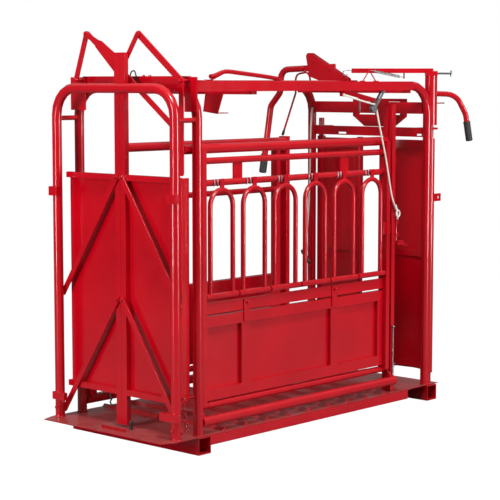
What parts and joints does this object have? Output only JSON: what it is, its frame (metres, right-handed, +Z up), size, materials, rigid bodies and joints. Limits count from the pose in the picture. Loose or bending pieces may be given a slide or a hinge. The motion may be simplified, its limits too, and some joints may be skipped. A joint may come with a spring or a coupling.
{
  "type": "cattle crush",
  "caption": "Red tubular cattle crush with a sliding-leaf tail gate, a squeezing side with drop bars, a head gate and hand levers.",
  "frame": {"origin": "on the ground, under the middle of the tail skid", "axes": "+X from the tail to the head, +Y to the far side where the squeeze lever hangs, +Z up"},
  "size_m": [2.4004, 1.258, 2.122],
  "materials": {
    "frame_paint": "gloss red enamel",
    "gate_paint": "gloss red enamel",
    "panel_paint": "gloss red enamel",
    "drive_paint": "gloss red enamel",
    "deck_paint": "red enamel on plate",
    "bright_steel": "zinc plated",
    "grip_rubber": "matt black rubber",
    "rope_fibre": "white braided rope"
  },
  "bodies": {
    "frame": {"tail_skid": "frame_paint", "head_skid": "frame_paint", "floor_deck": "deck_paint", "tail_arch": "frame_paint", "inner_arch": "frame_paint", "side_hoop_near": "frame_paint", "side_hoop_far": "frame_paint", "side_rail_near": "frame_paint", "side_rail_far": "frame_paint", "base_tube_near": "frame_paint", "base_tube_far": "frame_paint", "side_post_near": "frame_paint", "side_post_far": "frame_paint", "panel_frame_far": "panel_paint", "lower_panel_far": "panel_paint", "head_post_near": "frame_paint", "head_post_far": "frame_paint", "shaft_beam_tail": "frame_paint", "shaft_beam_head": "frame_paint", "header_beam": "frame_paint", "lower_header": "frame_paint", "yoke_plate": "frame_paint", "lock_rod": "bright_steel", "rope_pulley": "bright_steel", "release_rope": "rope_fibre"},
    "arm_near_lower": {"arm_near_lower": "gate_paint"},
    "arm_near_upper": {"arm_near_upper": "gate_paint"},
    "arm_far_lower": {"arm_far_lower": "gate_paint"},
    "arm_far_upper": {"arm_far_upper": "gate_paint"},
    "tail_leaf_near": {"tail_door_near": "gate_paint", "tail_sheet_near": "gate_paint"},
    "tail_leaf_far": {"tail_door_far": "gate_paint", "tail_sheet_far": "gate_paint"},
    "tail_lever": {"tail_lever": "drive_paint"},
    "far_crank": {"far_crank": "drive_paint"},
    "near_link": {"near_link": "drive_paint"},
    "far_link": {"far_link": "drive_paint"},
    "cross_link": {"cross_link": "drive_paint"},
    "squeeze_side": {"panel_frame_near": "panel_paint", "lower_panel_near": "panel_paint"},
    "squeeze_drive": {"squeeze_shaft": "drive_paint", "squeeze_lever": "drive_paint", "squeeze_grip": "grip_rubber"},
    "squeeze_link": {"squeeze_link": "drive_paint"},
    "head_lever": {"head_lever": "drive_paint", "head_grip": "grip_rubber", "spring_1": "bright_steel", "spring_2": "bright_steel"},
    "head_leaf_near": {"head_door_near": "gate_paint"},
    "head_leaf_far": {"head_door_far": "gate_paint"},
    "release_pin": {"release_pin": "drive_paint"},
    "drop_bar_1": {"drop_bar_1": "panel_paint"},
    "drop_bar_2": {"drop_bar_2": "panel_paint"},
    "drop_bar_3": {"drop_bar_3": "panel_paint"},
    "drop_bar_4": {"drop_bar_4": "panel_paint"},
    "drop_bar_5": {"drop_bar_5": "panel_paint"},
    "drop_bar_6": {"drop_bar_6": "panel_paint"},
    "turn_strap_1": {"turn_strap_1": "panel_paint"},
    "turn_strap_2": {"turn_strap_2": "panel_paint"}
  },
  "joints": [
    {"name": "tail_lever_turn", "type": "hinge", "parent": "frame", "child": "tail_lever", "pos_m": [-0.088, -0.402, 1.8653], "axis": [1, 0, 0], "range_deg": [0, 45]},
    {"name": "arm_near_lower_turn", "type": "hinge", "parent": "frame", "child": "arm_near_lower", "pos_m": [-0.1365, -0.437, 0.1283], "axis": [1, 0, 0], "range_deg": [0, 27.1]},
    {"name": "arm_near_upper_turn", "type": "hinge", "parent": "frame", "child": "arm_near_upper", "pos_m": [-0.1365, -0.437, 0.7533], "axis": [1, 0, 0], "range_deg": [0, 27.1]},
    {"name": "arm_far_lower_turn", "type": "hinge", "parent": "frame", "child": "arm_far_lower", "pos_m": [-0.1365, 0.437, 0.1283], "axis": [1, 0, 0], "range_deg": [-27.1, 0]},
    {"name": "arm_far_upper_turn", "type": "hinge", "parent": "frame", "child": "arm_far_upper", "pos_m": [-0.1365, 0.437, 0.7533], "axis": [1, 0, 0], "range_deg": [-27.1, 0]},
    {"name": "tail_leaf_near_turn", "type": "hinge", "parent": "arm_near_lower", "child": "tail_leaf_near", "pos_m": [-0.125, -0.02, 0.7533], "axis": [1, 0, 0], "range_deg": [-27.1, 0]},
    {"name": "tail_leaf_far_turn", "type": "hinge", "parent": "arm_far_lower", "child": "tail_leaf_far", "pos_m": [-0.125, 0.02, 0.7533], "axis": [1, 0, 0], "range_deg": [0, 27.1]},
    {"name": "far_crank_turn", "type": "hinge", "parent": "frame", "child": "far_crank", "pos_m": [-0.088, 0.374, 1.8703], "axis": [1, 0, 0], "range_deg": [-68.1, 0]},
    {"name": "near_link_turn", "type": "hinge", "parent": "tail_lever", "child": "near_link", "pos_m": [-0.095, -0.102, 2.0993], "axis": [1, 0, 0], "range_deg": [-80.1, 0]},
    {"name": "far_link_turn", "type": "hinge", "parent": "far_crank", "child": "far_link", "pos_m": [-0.095, 0.289, 2.1063], "axis": [1, 0, 0], "range_deg": [-19.1, 0]},
    {"name": "cross_link_turn", "type": "hinge", "parent": "tail_lever", "child": "cross_link", "pos_m": [-0.0775, -0.385, 1.6053], "axis": [1, 0, 0], "range_deg": [-55.1, 0]},
    {"name": "squeeze_turn", "type": "hinge", "parent": "frame", "child": "squeeze_drive", "pos_m": [1.635, 0, 1.8503], "axis": [1, 0, 0], "range_deg": [0, 60]},
    {"name": "squeeze_side_swing", "type": "hinge", "parent": "frame", "child": "squeeze_side", "pos_m": [0.735, -0.4, 0.2273], "axis": [1, 0, 0], "range_deg": [-2.6, 0]},
    {"name": "squeeze_link_turn", "type": "hinge", "parent": "squeeze_drive", "child": "squeeze_link", "pos_m": [1.551, -0.07, 1.8093], "axis": [1, 0, 0], "range_deg": [-67.5, 0]},
    {"name": "drop_bar_1_turn", "type": "hinge", "parent": "squeeze_side", "child": "drop_bar_1", "pos_m": [0.17579, -0.425, 0.7843], "axis": [1, 0, 0], "range_deg": [0, 155]},
    {"name": "drop_bar_2_turn", "type": "hinge", "parent": "squeeze_side", "child": "drop_bar_2", "pos_m": [0.41837, -0.425, 0.7843], "axis": [1, 0, 0], "range_deg": [0, 155]},
    {"name": "drop_bar_3_turn", "type": "hinge", "parent": "squeeze_side", "child": "drop_bar_3", "pos_m": [0.66096, -0.425, 0.7843], "axis": [1, 0, 0], "range_deg": [0, 155]},
    {"name": "drop_bar_4_turn", "type": "hinge", "parent": "squeeze_side", "child": "drop_bar_4", "pos_m": [0.90354, -0.425, 0.7843], "axis": [1, 0, 0], "range_deg": [0, 155]},
    {"name": "drop_bar_5_turn", "type": "hinge", "parent": "squeeze_side", "child": "drop_bar_5", "pos_m": [1.14613, -0.425, 0.7843], "axis": [1, 0, 0], "range_deg": [0, 155]},
    {"name": "drop_bar_6_turn", "type": "hinge", "parent": "squeeze_side", "child": "drop_bar_6", "pos_m": [1.38871, -0.425, 0.7843], "axis": [1, 0, 0], "range_deg": [0, 155]},
    {"name": "turn_strap_1_turn", "type": "hinge", "parent": "squeeze_side", "child": "turn_strap_1", "pos_m": [0.368, -0.4173, 0.7313], "axis": [0, -1, 0], "range_deg": [0, 90]},
    {"name": "turn_strap_2_turn", "type": "hinge", "parent": "squeeze_side", "child": "turn_strap_2", "pos_m": [1.075, -0.4173, 0.7313], "axis": [0, -1, 0], "range_deg": [0, 90]},
    {"name": "head_lever_turn", "type": "hinge", "parent": "frame", "child": "head_lever", "pos_m": [1.95, -0.415, 1.7933], "axis": [0, 0, -1], "range_deg": [0, 60]},
    {"name": "head_leaf_near_turn", "type": "hinge", "parent": "frame", "child": "head_leaf_near", "pos_m": [1.95, -0.415, 0.7933], "axis": [0, 0, -1], "range_deg": [0, 80.1]},
    {"name": "head_leaf_far_turn", "type": "hinge", "parent": "frame", "child": "head_leaf_far", "pos_m": [1.95, 0.415, 0.7933], "axis": [0, 0, 1], "range_deg": [0, 80.1]},
    {"name": "release_pin_slide", "type": "slide", "parent": "frame", "child": "release_pin", "axis": [0, 0, 1], "range_m": [0, 0.025]}
  ],
  "couplings": [
    {"joint": "arm_near_lower_turn", "follows": "tail_lever_turn", "ratio": 0.6},
    {"joint": "arm_near_upper_turn", "follows": "tail_lever_turn", "ratio": 0.6},
    {"joint": "arm_far_lower_turn", "follows": "tail_lever_turn", "ratio": -0.6},
    {"joint": "arm_far_upper_turn", "follows": "tail_lever_turn", "ratio": -0.6},
    {"joint": "tail_leaf_near_turn", "follows": "tail_lever_turn", "ratio": -0.6},
    {"joint": "tail_leaf_far_turn", "follows": "tail_lever_turn", "ratio": 0.6},
    {"joint": "far_crank_turn", "follows": "tail_lever_turn", "ratio": -1.5111},
    {"joint": "near_link_turn", "follows": "tail_lever_turn", "ratio": -1.7778},
    {"joint": "far_link_turn", "follows": "tail_lever_turn", "ratio": -0.4222},
    {"joint": "cross_link_turn", "follows": "tail_lever_turn", "ratio": -1.2222},
    {"joint": "squeeze_side_swing", "follows": "squeeze_turn", "ratio": -0.0407},
    {"joint": "squeeze_link_turn", "follows": "squeeze_turn", "ratio": -1.1127},
    {"joint": "head_leaf_near_turn", "follows": "head_lever_turn", "ratio": 1.3333},
    {"joint": "head_leaf_far_turn", "follows": "head_lever_turn", "ratio": 1.3333}
  ]
}
